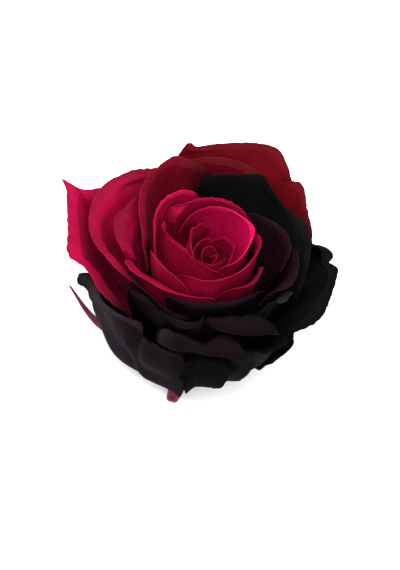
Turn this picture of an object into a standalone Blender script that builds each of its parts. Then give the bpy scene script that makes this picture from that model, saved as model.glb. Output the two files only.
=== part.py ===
"""A preserved rose head, cut off just under its hip and resting on the cut.

Thirty-five petals stand in a spiral on the dome of the receptacle. Each petal is a thin blade whose
shape follows from its rim: a smooth curve through a few points round the flower's axis. Those points
began as places read off a picture at guessed heights, worked out by program, and were then adjusted
by hand.
Every point of the rim is joined to the narrow claw of the petal by a bowl-shaped rib, and the last
few millimetres of each rib roll outwards into the lip. The calyx is the hip, its dome, the stub of
the stem and five sepals, grown together as one piece.

The origin is the middle of the flat cut under the stub, with +Z along the flower's axis.
"""

import math

import bpy
import numpy as np

MM = 0.001

# Blades
PETAL_THICKNESS = 0.6
BODY_ROWS = 7
LIP_ROWS = 3
RIM_STEP = 6.5
RIM_SAMPLES = 24

# Receptacle: the stub, the hip and the dome that the petals stand on
HIP_OUTLINE = [(0, 0), (3.4, 0), (3.3, 1.6), (6.0, 3.0), (7.6, 5.0), (8.3, 7.6)]
DOME_RADIUS = 8.0
DOME_BASE = 8.2
DOME_TOP = 17.4
DOME_POWER = 1.4
DOME_RINGS = 5
CLAW_LIFT = 0.8
INNER_CLAW_RADIUS = 0.9
OUTER_CLAW_RADIUS = 7.5
INNER_CLAW_WIDTH = 1.3
OUTER_CLAW_WIDTH = 3.6
TURNED_SIDES = 28

# How a rib leaves the dome, from the innermost petal to the outermost
INNER_LEAVING_ANGLE = 82.0
OUTER_LEAVING_ANGLE = -52.0
INNER_LEAVING_REACH = 10.0
OUTER_LEAVING_REACH = 18.0
LEAVING_POWER = 2.0
INNER_RISING_REACH = 0.34
OUTER_RISING_REACH = 0.92
RISING_POWER = 3.0
FAN_POWER = 1.8

# Tips and corners of a rim show only near it: the ribs start towards the rim smoothed over this length
SMOOTHED_LENGTH = 4.0
DETAIL_POWER = 4.0

# Nesting: each petal is eased outwards until it clears the petals inside it. Directions are taken from
# the axis above a turning height and from the turning point below it.
NEST_SPACING = 0.9
NEST_ROUNDS = 10
NEST_EASE = 0.5
NEST_SETTLED = 0.01
NEST_AZIMUTHS = 120
NEST_STEP = 0.5
NEST_LEVELS = 180
NEST_ARC_RADIUS = 20.0
INNER_TURNING_HEIGHT = 12.0
OUTER_TURNING_HEIGHT = 25.0
TURNING_POWER = 2.0
CELL_SAMPLES = 10

# Sepals
SEPAL_THICKNESS = 0.8
SEPAL_WIDTH = 6.4
SEPAL_TIP_WIDTH = 0.5
SEPAL_WAIST = 0.62
SEPAL_SWELLING = 2.2
SEPAL_CUP = 0.16
SEPAL_ROWS = 12
SEPAL_COLUMNS = 4

# Colours of the dyed petals, linear red, green and blue
COLOURS = {
    "petal_pink": (0.50, 0.008, 0.085),
    "petal_red": (0.32, 0.012, 0.020),
    "petal_purple": (0.045, 0.012, 0.050),
    "petal_plum": (0.040, 0.022, 0.034),
    "petal_black": (0.010, 0.012, 0.012),
    "calyx": (0.34, 0.045, 0.07),
}
PETAL_ROUGHNESS = 0.75

# Petals from the innermost to the outermost: name, colour, azimuth of the claw, lip (radius of the
# roll, angle of the blade below it, angle of its edge) and the rim (azimuth, radius, height). Angles
# are in degrees, with azimuth 0 along +X and 90 along +Y, and an edge angle below 0 hangs down.
PETALS = [
    ("heart_1", "petal_pink", 0, (0.5, 96, 80),
     [(-110, 1.0, 37), (-60, 1.2, 40), (0, 1.4, 41), (60, 1.5, 40.5), (110, 1.6, 38)]),
    ("heart_2", "petal_pink", 150, (0.5, 96, 80),
     [(35, 2.9, 38), (90, 2.8, 41.5), (150, 2.5, 42), (205, 2.4, 41.5), (255, 2.3, 38)]),
    ("heart_3", "petal_pink", 285, (0.5, 96, 75),
     [(180, 3.5, 38), (225, 3.4, 41.5), (285, 3.3, 42), (345, 3.5, 42), (385, 3.8, 39)]),
    ("heart_4", "petal_pink", 150, (0.5, 96, 75),
     [(70, 4.3, 39), (105, 4.2, 42.5), (150, 4.2, 43), (195, 4.4, 42.5), (230, 4.6, 39)]),
    ("heart_5", "petal_pink", 25, (0.6, 96, 70),
     [(-50, 4.7, 38), (-22, 4.8, 42), (5, 4.9, 43), (25, 5.4, 44.3), (48, 5.1, 43.6), (75, 5.3, 43),
      (100, 5.6, 39)]),
    ("heart_6", "petal_pink", 180, (0.8, 95, 50),
     [(98, 8.6, 40), (120, 7.8, 44.6), (143, 6.5, 46), (158, 6.6, 46.6), (172, 5.9, 46),
      (192, 5.6, 45), (220, 5.6, 44), (256, 5.6, 40)]),
    ("bud_1", "petal_pink", 30, (0.8, 92, 40),
     [(-80, 6.5, 40), (-60, 6.8, 45), (-42, 7.0, 46), (-20, 7.4, 46.6), (2, 8.2, 47),
      (18, 9.3, 47.6), (33, 10.4, 48.4), (53, 10.3, 48), (79, 10.3, 48), (105, 10.1, 48),
      (128, 9.8, 47), (145, 9.9, 45), (154, 10.1, 41)]),
    ("bud_2", "petal_pink", 232, (0.9, 92, 30),
     [(156, 13.0, 41), (163, 13.6, 45.4), (172, 13.5, 46), (180, 12.0, 46), (190, 9.4, 46),
      (205, 7.4, 46), (230, 6.9, 46), (254, 7.2, 46), (276, 7.9, 46), (296, 8.5, 45),
      (312, 8.6, 41)]),
    ("bud_3", "petal_pink", 108, (0.8, 92, 40),
     [(46, 11.6, 43), (60, 11.5, 48), (80, 11.6, 49), (100, 11.9, 49), (120, 12.0, 49),
      (138, 12.2, 48.6), (150, 12.2, 47), (157, 12.0, 43)]),
    ("bud_4", "petal_pink", 163, (1.0, 90, 30),
     [(113, 13.0, 43), (120, 13.5, 48.6), (132, 15.0, 50), (148, 15.8, 50), (163, 15.9, 49.2),
      (180, 15.4, 48.2), (196, 14.6, 46.6), (208, 14.2, 42)]),
    ("bud_5", "petal_pink", 318, (1.0, 90, 20),
     [(228, 12.5, 40), (240, 12.8, 45), (252, 12.6, 46.4), (266, 12.1, 46.6), (282, 11.1, 46.4),
      (300, 10.4, 46.2), (321, 10.1, 46), (340, 10.2, 46), (358, 10.6, 46), (15, 11.4, 46.4),
      (30, 11.7, 46), (42, 12.0, 42)]),
    ("bud_6", "petal_pink", 228, (1.2, 88, 10),
     [(196, 14.6, 41), (202, 15.4, 45.4), (208, 15.6, 46.2), (218, 15.5, 46.6), (229, 14.8, 46.6),
      (242, 14.3, 46), (252, 14.0, 44), (259, 13.9, 39)]),
    ("bud_7", "petal_pink", 318, (0.9, 88, 10),
     [(272, 12.8, 34), (281, 12.6, 39), (290, 12.6, 43), (301, 13.0, 44.6), (312, 13.5, 44.8),
      (325, 13.9, 44.8), (340, 13.4, 44.6), (353, 12.8, 43.6), (366, 12.7, 39)]),
    ("purple_1", "petal_purple", 40, (1.4, 84, 20),
     [(4, 17.6, 39), (13, 19.2, 43.6), (25, 19.3, 45), (37, 18.2, 45.2), (50, 16.4, 45),
      (62, 15.0, 44.4), (74, 14.6, 40)]),
    ("black_1", "petal_black", 78, (1.6, 80, 25),
     [(36, 22.4, 38), (45, 23.2, 43.4), (56, 23.7, 44.6), (66, 24.8, 45.8), (73, 25.6, 46.6),
      (84, 23.2, 46.4), (96, 21.6, 46.6), (107, 20.2, 46), (119, 18.4, 41)]),
    ("red_1", "petal_red", 144, (1.8, 80, 20),
     [(96, 23.4, 40), (104, 24.2, 45), (113, 25.6, 46.6), (121, 27.4, 47.4), (130, 26.2, 47.6),
      (142, 24.6, 48), (151, 23.2, 48), (160, 21.6, 48), (170, 19.8, 48), (179, 18.5, 47),
      (188, 17.5, 46), (198, 16.7, 45), (206, 15.9, 43.4), (210, 15.6, 39)]),
    ("pink_1", "petal_pink", 186, (2.0, 80, -10),
     [(145, 24.2, 40), (152, 22.6, 44.4), (158, 23.0, 44.4), (165, 24.2, 44), (173, 25.2, 43.6),
      (182, 24.2, 43), (189, 22.8, 42.4), (193, 21.7, 41.2), (195, 20.4, 38.8)]),
    ("pink_2", "petal_pink", 238, (1.4, 84, 0),
     [(198, 20.2, 40.2), (201, 21.4, 41.8), (206, 21.5, 42.4), (213, 20.6, 42.6), (222, 19.1, 42.8),
      (235, 17.5, 43.2), (249, 16.2, 43.6), (267, 14.9, 43.6), (281, 14.2, 43.2), (291, 14.2, 39)]),
    ("purple_2", "petal_purple", 285, (1.2, 84, 10),
     [(237, 17.4, 38), (243.5, 17.8, 42.4), (251, 17.8, 43.4), (260, 17.4, 43.8), (270, 16.8, 43.8),
      (285, 16.1, 43.8), (300, 15.9, 43.8), (315, 16.0, 43.8), (328, 16.1, 43.2), (338, 16.2, 39)]),
    ("purple_3", "petal_purple", 368, (1.5, 82, 0),
     [(326, 16.4, 38), (331, 16.6, 42), (337, 18.2, 42.6), (343, 20.3, 43), (350, 21.2, 44),
      (360, 21.3, 44.4), (370, 20.9, 44.2), (379, 20.6, 43), (388, 20.6, 38)]),
    ("plum_1", "petal_plum", 330, (1.2, 80, -30),
     [(320, 16.6, 34), (327, 17.0, 38.6), (334, 17.8, 39.8), (337, 20.2, 39.4), (342, 21.4, 39.8),
      (349, 21.6, 40), (356, 21.8, 35)]),
    ("plum_2", "petal_plum", 296, (1.2, 82, -40),
     [(273, 16.6, 31), (276, 16.6, 36.4), (279, 17.6, 38.2), (285, 19.0, 37.8), (291, 19.9, 37.2),
      (298, 20.6, 36.8), (306, 21.5, 36.4), (314, 22.7, 36.2), (322, 24.2, 36), (330, 23.6, 32)]),
    ("pink_3", "petal_pink", 196, (1.8, 68, 0),
     [(124, 27.4, 38), (128, 27.6, 43.2), (133, 28.2, 44), (139, 29.6, 44), (146, 30.8, 43.8),
      (156, 32.6, 42.6), (166, 32.4, 41.6), (177, 31.0, 41), (188, 28.6, 41), (199, 25.2, 41),
      (207, 23.4, 41), (213, 22.1, 41), (220, 20.6, 40.8), (229, 18.8, 40.2), (239, 17.6, 39.2),
      (250, 17.0, 38.6), (259, 16.9, 38.2), (264, 16.8, 37.8), (267, 15.8, 36)]),
    ("black_2", "petal_black", 42, (1.8, 74, 10),
     [(8, 23.6, 26), (14, 24.8, 32), (20, 25.6, 36.6), (26, 26.1, 39.4), (32, 26.6, 40.6),
      (38, 27.0, 41.4), (45, 26.0, 41.8), (53, 25.2, 41.2), (61, 25.0, 36)]),
    ("plum_3", "petal_plum", 246, (1.3, 82, -50),
     [(206, 22.6, 32), (210, 23.0, 36), (216, 22.4, 38), (223, 21.0, 38.8), (230, 19.8, 39.2),
      (236, 19.4, 38.8), (243, 19.6, 38.2), (251, 20.1, 37.6), (258, 20.3, 37), (265, 19.8, 36.9),
      (271, 18.8, 37.1), (275.5, 17.4, 38.4), (275, 16.2, 38.4)]),
    ("red_2", "petal_red", 94, (2.2, 70, 10),
     [(66, 28.2, 36), (75, 29.6, 41.6), (86, 30.2, 43), (97, 30.0, 43.4), (108, 29.6, 43),
      (118, 29.8, 40), (125, 29.6, 35)]),
    ("red_3", "petal_red", 48, (2.0, 66, 15),
     [(29, 28.0, 31), (33, 28.4, 37), (37, 29.0, 38.4), (42, 29.8, 39), (49, 31.4, 40),
      (54, 33.2, 41), (58.5, 34.0, 41.8), (64, 31.6, 41.2), (71, 30.6, 36)]),
    ("black_3", "petal_black", 322, (1.4, 80, -20),
     [(299, 20.8, 24), (305, 21.8, 29.4), (311, 23.4, 30.6), (317, 24.9, 30.4), (325, 25.2, 29.6),
      (334, 25.0, 27.8), (340, 24.4, 23)]),
    ("plum_4", "petal_plum", 275, (1.7, 82, -55),
     [(245, 20.4, 25), (247.5, 21.6, 30), (250.5, 22.9, 31.6), (256, 22.6, 30.8), (263, 22.1, 30.4),
      (271, 21.7, 30.4), (280, 21.9, 30.4), (290, 22.2, 30.2), (299, 22.9, 30.2), (306, 22.3, 29),
      (313, 21.0, 25)]),
    ("pink_4", "petal_pink", 172, (2.2, 62, 0),
     [(136, 31.2, 33), (145, 32.8, 37.2), (152, 34.0, 38.2), (158, 36.2, 38.8), (160, 39.2, 39),
      (160.2, 43.0, 39.6), (163.4, 40.4, 39), (168, 38.6, 38.6), (175, 36.6, 38.4),
      (182, 35.4, 38.2), (189, 35.0, 38), (193, 33.8, 37.6), (196, 31.0, 36.8), (200, 29.3, 36),
      (204.5, 28.4, 35.2), (209, 27.6, 34.8), (214, 26.6, 34.2), (219, 25.2, 33.8),
      (222.5, 23.4, 32.4), (223, 22.4, 28)]),
    ("black_4", "petal_black", 2, (2.2, 46, -10),
     [(337, 20.6, 16), (338.5, 22.4, 21), (341, 23.8, 25), (343, 25.4, 28), (345.5, 27.2, 29.8),
      (349, 29.2, 31.6), (353, 30.4, 33.4), (358, 30.8, 34.6), (363, 31.2, 35.4), (369, 31.9, 36.2),
      (374.5, 32.4, 37.4), (378, 29.8, 38), (384, 28.4, 37.4), (391, 27.8, 35.4), (398, 28.0, 32.4),
      (404, 28.6, 28)]),
    ("red_4", "petal_red", 92, (2.4, 62, 10),
     [(58, 34.6, 32), (65, 36.0, 39.4), (74, 38.4, 43.4), (83, 36.8, 44), (94, 34.6, 44),
      (102, 33.2, 44), (108, 32.2, 44.2), (111.5, 32.2, 46), (114.5, 31.4, 44.4), (118, 31.0, 40),
      (124, 31.2, 33)]),
    ("plum_5", "petal_plum", 248, (1.2, 92, -35),
     [(162, 19.2, 11.6), (169.5, 20.8, 16), (177, 22.0, 20.2), (184, 23.0, 23.8), (189, 25.8, 26.8),
      (193.5, 30.2, 31.2), (197, 31.8, 33.2), (200, 32.0, 32.8), (202.5, 30.4, 32.8),
      (206, 29.6, 33.0), (210, 29.4, 33.0), (214, 28.4, 33.0), (218, 26.9, 32.8), (222, 25.0, 32.3),
      (227, 23.6, 31.6), (233, 22.7, 30.6), (240, 22.4, 29.9), (248, 22.3, 29), (257, 21.9, 28.4),
      (264, 21.8, 27.2), (270, 21.7, 24.6), (274, 21.2, 19)]),
    ("black_5", "petal_black", 285, (0.8, 88, 50),
     [(267, 21.8, 18), (268.5, 22.4, 24), (270.5, 22.4, 28.4), (275, 21.7, 28.8), (283, 21.7, 28.8),
      (290, 22.1, 28.5), (297, 22.6, 27.8), (301.5, 22.9, 26.6), (302.5, 22.4, 23.5)]),
    ("red_5", "petal_red", 135, (1.4, 80, 10),
     [(104, 32.0, 18), (112, 32.8, 24), (123, 33.0, 27.6), (135, 33.2, 28.6), (148, 33.6, 27),
      (158, 33.2, 23), (165, 32.4, 17)]),
]

# How much fuller a petal's belly is than its place in the spiral gives it
FULLER = {"plum_5": 0.03, "black_5": -0.26, "red_5": -0.2, "red_4": -0.04, "pink_4": -0.08, "plum_4": -0.10}

# How far the lip of a petal hangs on, straight, beyond its roll
FLAPS = {"plum_2": 2.0, "plum_3": 1.2, "plum_4": 2.8, "plum_5": 1.2}

# How soon a petal spreads out on its way up, times the usual: below 1 its foot stays narrow
SPREADING = {"plum_5": 1.5, "black_5": 0.6}

# How wide the claw of a petal is, times the usual
NARROW_CLAW = {"black_5": 0.35}

# How many times wider than in the table a petal's lip is, at even steps from the start to the end of its rim
WIDER_LIP = {
    "red_1": (1.0, 1.4),
    "pink_1": (2.4, 1.6),
    "plum_2": (0.6, 1.4, 1.9, 1.9, 1.1),
    "pink_2": (1.2, 2.4, 2.6, 1.6, 1.0),
    "pink_3": (3.6, 3.0, 2.0, 1.0, 0.7),
    "pink_4": (2.6, 2.2, 1.8, 1.4, 0.8),
    "black_4": (1.4, 1.6, 1.6, 1.0, 0.5),
    "plum_4": (1.0, 1.6, 1.8, 1.2, 1.3, 0.5),
    "plum_5": (0.2, 0.2, 0.2, 0.2, 0.8, 1.9, 1.8, 1.9, 1.5, 0.6, 0.7, 0.8, 0.5, 0.3),
}

# Sepals: azimuth, how soon the blade tapers to its tip, then the middle line (distance from the axis,
# height). The one at the front is broken off blunt.
SEPALS = [
    (181, 0.8,
     [(5.6, 5.4), (9.0, 2.4), (13.0, 0.7), (17.0, 0.4), (20.6, 0.9), (25.0, 3.6), (28.4, 8.0),
      (31.0, 12.6), (33.4, 17.0)]),
    (265, 0.2,
     [(5.6, 5.0), (8.4, 2.8), (11.4, 1.2), (14.0, 0.6), (15.4, 0.4), (16.2, 0.5), (17.0, 0.7), (17.6, 1.0)]),
    (338, 0.7,
     [(5.6, 5.4), (7.6, 3.6), (9.6, 2.2), (11.6, 1.2), (13.4, 0.5), (14.8, 0.4), (16.0, 0.4)]),
    (42, 0.7,
     [(5.6, 5.4), (9.0, 2.4), (13.0, 0.7), (17.6, 0.4), (22.4, 1.3), (26.6, 4.0), (29.6, 7.6), (31.4, 11.4)]),
    (112, 0.7,
     [(5.6, 5.4), (9.0, 2.4), (13.0, 0.7), (17.6, 0.4), (22.2, 0.9), (26.4, 2.4), (29.8, 4.4), (32.6, 5.4)]),
]


def catmull_rom(points, samples):
    """The smooth curve through the points, with this many samples for each stretch."""
    points = np.asarray(points, float)
    before = 2 * points[0] - points[1]
    after = 2 * points[-1] - points[-2]
    knots = np.vstack([before, points, after])
    t = np.linspace(0, 1, samples, endpoint=False)[:, None]
    stretches = []
    for a, b, c, d in zip(knots[:-3], knots[1:-2], knots[2:-1], knots[3:]):
        stretches.append(
            0.5 * (2 * b + (c - a) * t + (2 * a - 5 * b + 4 * c - d) * t**2 + (3 * b - a - 3 * c + d) * t**3)
        )
    return np.vstack([*stretches, points[-1:]])


def evenly_spaced(curve, count):
    """This many points of the curve, at equal lengths along it."""
    steps = np.linalg.norm(np.diff(curve, axis=0), axis=1)
    length_along = np.concatenate([[0], np.cumsum(steps)])
    wanted = np.linspace(0, length_along[-1], count)
    return np.stack([np.interp(wanted, length_along, column) for column in curve.T], axis=1)


def unwrapped(rim):
    """The rim's points with azimuths that only rise, in radians."""
    rim = np.asarray(rim, float)
    rim[:, 0] = np.unwrap(np.radians(rim[:, 0]))
    return rim


def rim_edge(rim, step):
    """(points along the rim about a step apart, the length along the rim at each)

    Every given point stays among them, so tips and corners keep their place.
    """
    dense = catmull_rom(unwrapped(rim), RIM_SAMPLES)
    lengths = np.linalg.norm(np.diff(on_axis(*dense.T), axis=0), axis=1)
    edge = []
    for start in range(0, len(dense) - 1, RIM_SAMPLES):
        stretch = lengths[start : start + RIM_SAMPLES].sum()
        pieces = max(1, round(stretch / step))
        edge += [dense[start + round(RIM_SAMPLES * i / pieces)] for i in range(pieces)]
    edge = np.array([*edge, dense[-1]])
    along = np.concatenate([[0], np.cumsum(np.linalg.norm(np.diff(on_axis(*edge.T), axis=0), axis=1))])
    return edge, along


def smoothed(values, along):
    """The values along a rim, each averaged over the rim near it."""
    weights = np.exp(-(((along[:, None] - along) / SMOOTHED_LENGTH) ** 2) / 2)
    return weights @ values / weights.sum(axis=1, keepdims=True)


def on_axis(azimuth, radius, height):
    return np.stack([radius * np.cos(azimuth), radius * np.sin(azimuth), height], axis=-1)


def dome_height(radius):
    return DOME_TOP - (DOME_TOP - DOME_BASE) * (radius / DOME_RADIUS) ** DOME_POWER


def lip_curl(roll, start, end, flap):
    """(outward, upward) steps from the top of the blade over the roll and down the flap, if it has one."""
    rolled = np.linspace(start, end, LIP_ROWS if flap else LIP_ROWS + 1)
    curl = np.stack([math.sin(start) - np.sin(rolled), np.cos(rolled) - math.cos(start)], axis=1) * roll
    if flap:
        curl = np.vstack([curl, curl[-1] + flap * np.array([math.cos(end), math.sin(end)])])
    return curl


def rib(foot, rim_point, leaving, reach, rising, lip, flap):
    """The (radius, height) points of one rib, from the claw to the edge of the lip."""
    roll, blade_angle, edge_angle = lip
    start, end = math.radians(blade_angle), math.radians(edge_angle)
    curl = lip_curl(roll, start, end, flap)
    top = rim_point - curl[-1]
    length = np.linalg.norm(top - foot)
    first = foot + reach * np.array([math.cos(leaving), math.sin(leaving)])
    second = top - rising * length * np.array([math.cos(start), math.sin(start)])
    t = np.linspace(0, 1, BODY_ROWS + 1)[:, None]
    body = (1 - t) ** 3 * foot + 3 * (1 - t) ** 2 * t * first + 3 * (1 - t) * t**2 * second + t**3 * top
    return np.vstack([body, top + curl[1:]])


def lip_widening(name, across):
    """How many times wider the lip is at this place across the petal, from -1 to 1."""
    steps = WIDER_LIP.get(name, (1, 1))
    return np.interp(across, np.linspace(-1, 1, len(steps)), steps)


def petal_grid(order, name, claw_azimuth, lip, rim):
    """The middle surface of a petal: points by row, from the claw up, and by column, along the rim."""
    share = order / (len(PETALS) - 1)
    belly = share + FULLER.get(name, 0)
    leaving = math.radians(INNER_LEAVING_ANGLE + (OUTER_LEAVING_ANGLE - INNER_LEAVING_ANGLE) * belly)
    reach = INNER_LEAVING_REACH + (OUTER_LEAVING_REACH - INNER_LEAVING_REACH) * belly**LEAVING_POWER
    rising = INNER_RISING_REACH + (OUTER_RISING_REACH - INNER_RISING_REACH) * belly**RISING_POWER
    claw_radius = INNER_CLAW_RADIUS + (OUTER_CLAW_RADIUS - INNER_CLAW_RADIUS) * share
    claw_width = INNER_CLAW_WIDTH + (OUTER_CLAW_WIDTH - INNER_CLAW_WIDTH) * share
    claw_width *= NARROW_CLAW.get(name, 1)
    foot = np.array([claw_radius, dome_height(claw_radius) + CLAW_LIFT])
    edge, along = rim_edge(rim, RIM_STEP)
    base = smoothed(edge[:, 1:], along)
    middle = math.radians(claw_azimuth)
    middle += 2 * math.pi * round((edge[:, 0].mean() - middle) / (2 * math.pi))
    half_angle = claw_width / 2 / claw_radius
    roll, blade_angle, edge_angle = lip
    grid = []
    across_rim = 2 * along / along[-1] - 1
    for across, azimuth, rim_point, base_point in zip(across_rim, edge[:, 0], edge[:, 1:], base):
        wider = lip_widening(name, across)
        local_lip = (roll * wider, blade_angle, edge_angle)
        points = rib(foot, base_point, leaving, reach, rising, local_lip, FLAPS.get(name, 0) * wider)
        risen = np.linspace(0, 1, len(points))
        points = points + (rim_point - base_point) * risen[:, None] ** DETAIL_POWER
        fan = 1 - (1 - risen) ** (FAN_POWER * SPREADING.get(name, 1))
        start = middle + across * half_angle
        grid.append(on_axis(start + (azimuth - start) * fan, points[:, 0], points[:, 1]))
    return np.stack(grid, axis=1)


def cell_samples(grid, count):
    """Points over every cell of the grid, as (row, column, sample, xyz)."""
    share = (np.arange(count + 1) / count)[:, None]
    corners = (grid[:-1, :-1], grid[:-1, 1:], grid[1:, :-1], grid[1:, 1:])
    weights = [
        (1 - share) * (1 - share.T),
        (1 - share) * share.T,
        share * (1 - share.T),
        share * share.T,
    ]
    return sum(c[:, :, None, :] * w.reshape(1, 1, -1, 1) for c, w in zip(corners, weights))


def seen_from_axis(points, turning_height):
    """(azimuth bin, level bin, distance, outward direction) of points."""
    radius = np.hypot(points[..., 0], points[..., 1])
    below = np.minimum(points[..., 2] - turning_height, 0)
    distance = np.hypot(radius, below)
    level = np.where(
        below < 0, NEST_ARC_RADIUS * np.arctan2(below, radius), points[..., 2] - turning_height
    )
    azimuth = np.arctan2(points[..., 1], points[..., 0])
    azimuth_bin = np.floor(azimuth / (2 * math.pi) * NEST_AZIMUTHS).astype(int) % NEST_AZIMUTHS
    level_bin = np.clip((level / NEST_STEP).astype(int) + NEST_LEVELS // 2, 0, NEST_LEVELS - 1)
    outward = np.stack([points[..., 0], points[..., 1], below], axis=-1) / distance[..., None]
    return azimuth_bin, level_bin, distance, outward


def outline_of(inner_points, turning_height):
    """How far the inner petals reach, by azimuth and level."""
    reach = np.zeros((NEST_AZIMUTHS, NEST_LEVELS))
    azimuth_bin, level_bin, distance, _ = seen_from_axis(inner_points, turning_height)
    np.maximum.at(reach, (azimuth_bin, level_bin), distance)
    beside = np.maximum(np.roll(reach, 1, axis=0), np.roll(reach, -1, axis=0))
    reach = np.where(reach > 0, reach, beside)
    beyond = np.maximum(np.roll(reach, 1, axis=1), np.roll(reach, -1, axis=1))
    return np.where(reach > 0, reach, beyond)


def nested(grid, inner_points, turning_height):
    """The grid, eased outwards where it would meet the petals inside it."""
    if len(inner_points) == 0:
        return grid
    reach = outline_of(inner_points, turning_height)
    rows, columns = grid.shape[:2]
    for _ in range(NEST_ROUNDS):
        azimuth_bin, level_bin, distance, _ = seen_from_axis(cell_samples(grid, CELL_SAMPLES), turning_height)
        inside = reach[azimuth_bin, level_bin]
        short = np.where(inside > 0, inside + NEST_SPACING - distance, 0).max(axis=2)
        push = np.zeros((rows, columns))
        for i, j in ((0, 0), (0, 1), (1, 0), (1, 1)):
            part = push[i : rows - 1 + i, j : columns - 1 + j]
            np.maximum(part, short * NEST_EASE, out=part)
        push[0] = np.where(grid[0, :, 2] > turning_height, push[0], 0)
        if push.max() < NEST_SETTLED:
            break
        grid = grid + push[..., None] * seen_from_axis(grid, turning_height)[3]
    return grid


def grid_normals(grid):
    along = np.gradient(grid, axis=1)
    up = np.gradient(grid, axis=0)
    normals = np.cross(along, up)
    return normals / np.linalg.norm(normals, axis=2, keepdims=True)


def blade(name, grid, thickness, material):
    """A closed blade of this thickness round the grid's middle surface."""
    rows, columns = grid.shape[:2]
    offset = grid_normals(grid) * thickness / 2
    points = np.concatenate([(grid + offset).reshape(-1, 3), (grid - offset).reshape(-1, 3)])
    index = np.arange(rows * columns).reshape(rows, columns)
    under = rows * columns
    faces = []
    for i in range(rows - 1):
        for j in range(columns - 1):
            a, b, c, d = index[i, j], index[i, j + 1], index[i + 1, j + 1], index[i + 1, j]
            faces += [(a, b, c), (a, c, d)]
            faces += [(under + a, under + c, under + b), (under + a, under + d, under + c)]
    ring = [*index[0, :], *index[1:, -1], *index[-1, -2::-1], *index[-2:0:-1, 0]]
    for a, b in zip(ring, ring[1:] + ring[:1]):
        faces += [(a, under + a, under + b), (a, under + b, b)]
    return add_object(name, points * MM, faces, material)


def add_object(name, points, faces, material):
    mesh = bpy.data.meshes.new(name)
    mesh.from_pydata([tuple(p) for p in points], [], [tuple(int(i) for i in f) for f in faces])
    mesh.materials.append(material)
    obj = bpy.data.objects.new(name, mesh)
    bpy.context.scene.collection.objects.link(obj)
    mesh.shade_smooth()
    return obj


def petals(materials):
    """Every petal, from the innermost out, each nested round the ones before."""
    inner_points = np.zeros((0, 3))
    for order, (name, colour, claw_azimuth, lip, rim) in enumerate(PETALS):
        share = order / (len(PETALS) - 1)
        turning_height = INNER_TURNING_HEIGHT
        turning_height += (OUTER_TURNING_HEIGHT - INNER_TURNING_HEIGHT) * share**TURNING_POWER
        grid = petal_grid(order, name, claw_azimuth, lip, rim)
        grid = nested(grid, inner_points, turning_height)
        blade(f"petal_{order + 1:02d}_{name}", grid, PETAL_THICKNESS, materials[colour])
        inner_points = np.vstack([inner_points, cell_samples(grid, CELL_SAMPLES).reshape(-1, 3)])


def receptacle(material):
    """The stub, the hip and its dome, turned round the axis."""
    dome = [(radius, dome_height(radius)) for radius in np.linspace(DOME_RADIUS, 0, DOME_RINGS + 1)]
    points, rings = [], []
    for radius, height in [*HIP_OUTLINE, *dome]:
        if radius == 0:
            rings.append([len(points)] * TURNED_SIDES)
            points.append((0, 0, height * MM))
            continue
        rings.append(list(range(len(points), len(points) + TURNED_SIDES)))
        for side in range(TURNED_SIDES):
            angle = 2 * math.pi * side / TURNED_SIDES
            points.append((radius * math.cos(angle) * MM, radius * math.sin(angle) * MM, height * MM))
    faces = []
    for low, high in zip(rings, rings[1:]):
        for side in range(TURNED_SIDES):
            after = (side + 1) % TURNED_SIDES
            corners = [low[side], low[after], high[after], high[side]]
            faces.append(list(dict.fromkeys(corners)))
    return add_object("calyx", points, faces, material)


def sepal(azimuth, taper, line, material):
    """One pointed sepal along its middle line, cupped upwards and no lower than the surface."""
    middle = evenly_spaced(catmull_rom(line, RIM_SAMPLES), SEPAL_ROWS + 1)
    middle[:, 1] = np.maximum(middle[:, 1], SEPAL_THICKNESS / 2)
    angle = math.radians(azimuth)
    outward = np.array([math.cos(angle), math.sin(angle), 0])
    aside = np.array([-math.sin(angle), math.cos(angle), 0])
    grid = []
    for share, (radius, height) in zip(np.linspace(0, 1, SEPAL_ROWS + 1), middle):
        swelling = SEPAL_WAIST + (1 - SEPAL_WAIST) * math.sin(math.pi * min(share * SEPAL_SWELLING, 1))
        half = SEPAL_WIDTH / 2 * swelling * (1 - share) ** taper + SEPAL_TIP_WIDTH / 2
        row = []
        for across in np.linspace(-1, 1, SEPAL_COLUMNS + 1):
            cup = SEPAL_CUP * half * across**2
            row.append(outward * radius + aside * half * across + np.array([0, 0, height + cup]))
        grid.append(row)
    return blade("sepal", np.array(grid), SEPAL_THICKNESS, material)


def calyx(material):
    """The receptacle and the five sepals, joined as one solid."""
    body = receptacle(material)
    joined = bpy.data.collections.new("sepals")
    bpy.context.scene.collection.children.link(joined)
    for azimuth, taper, line in SEPALS:
        piece = sepal(azimuth, taper, line, material)
        bpy.context.scene.collection.objects.unlink(piece)
        joined.objects.link(piece)
    union = body.modifiers.new("join", "BOOLEAN")
    union.operation = "UNION"
    union.operand_type = "COLLECTION"
    union.collection = joined
    graph = bpy.context.evaluated_depsgraph_get()
    whole = bpy.data.meshes.new_from_object(body.evaluated_get(graph))
    body.modifiers.clear()
    body.data = whole
    for piece in list(joined.objects):
        bpy.data.objects.remove(piece)
    bpy.data.collections.remove(joined)
    return body


def dyed_material(name, colour):
    material = bpy.data.materials.new(name)
    material.use_nodes = True
    shader = material.node_tree.nodes["Principled BSDF"]
    shader.inputs["Base Color"].default_value = (*colour, 1)
    shader.inputs["Roughness"].default_value = PETAL_ROUGHNESS
    shader.inputs["Metallic"].default_value = 0
    return material


def clear_scene():
    for obj in list(bpy.data.objects):
        bpy.data.objects.remove(obj)


def main():
    clear_scene()
    materials = {name: dyed_material(name, colour) for name, colour in COLOURS.items()}
    calyx(materials["calyx"])
    petals(materials)


main()
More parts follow.
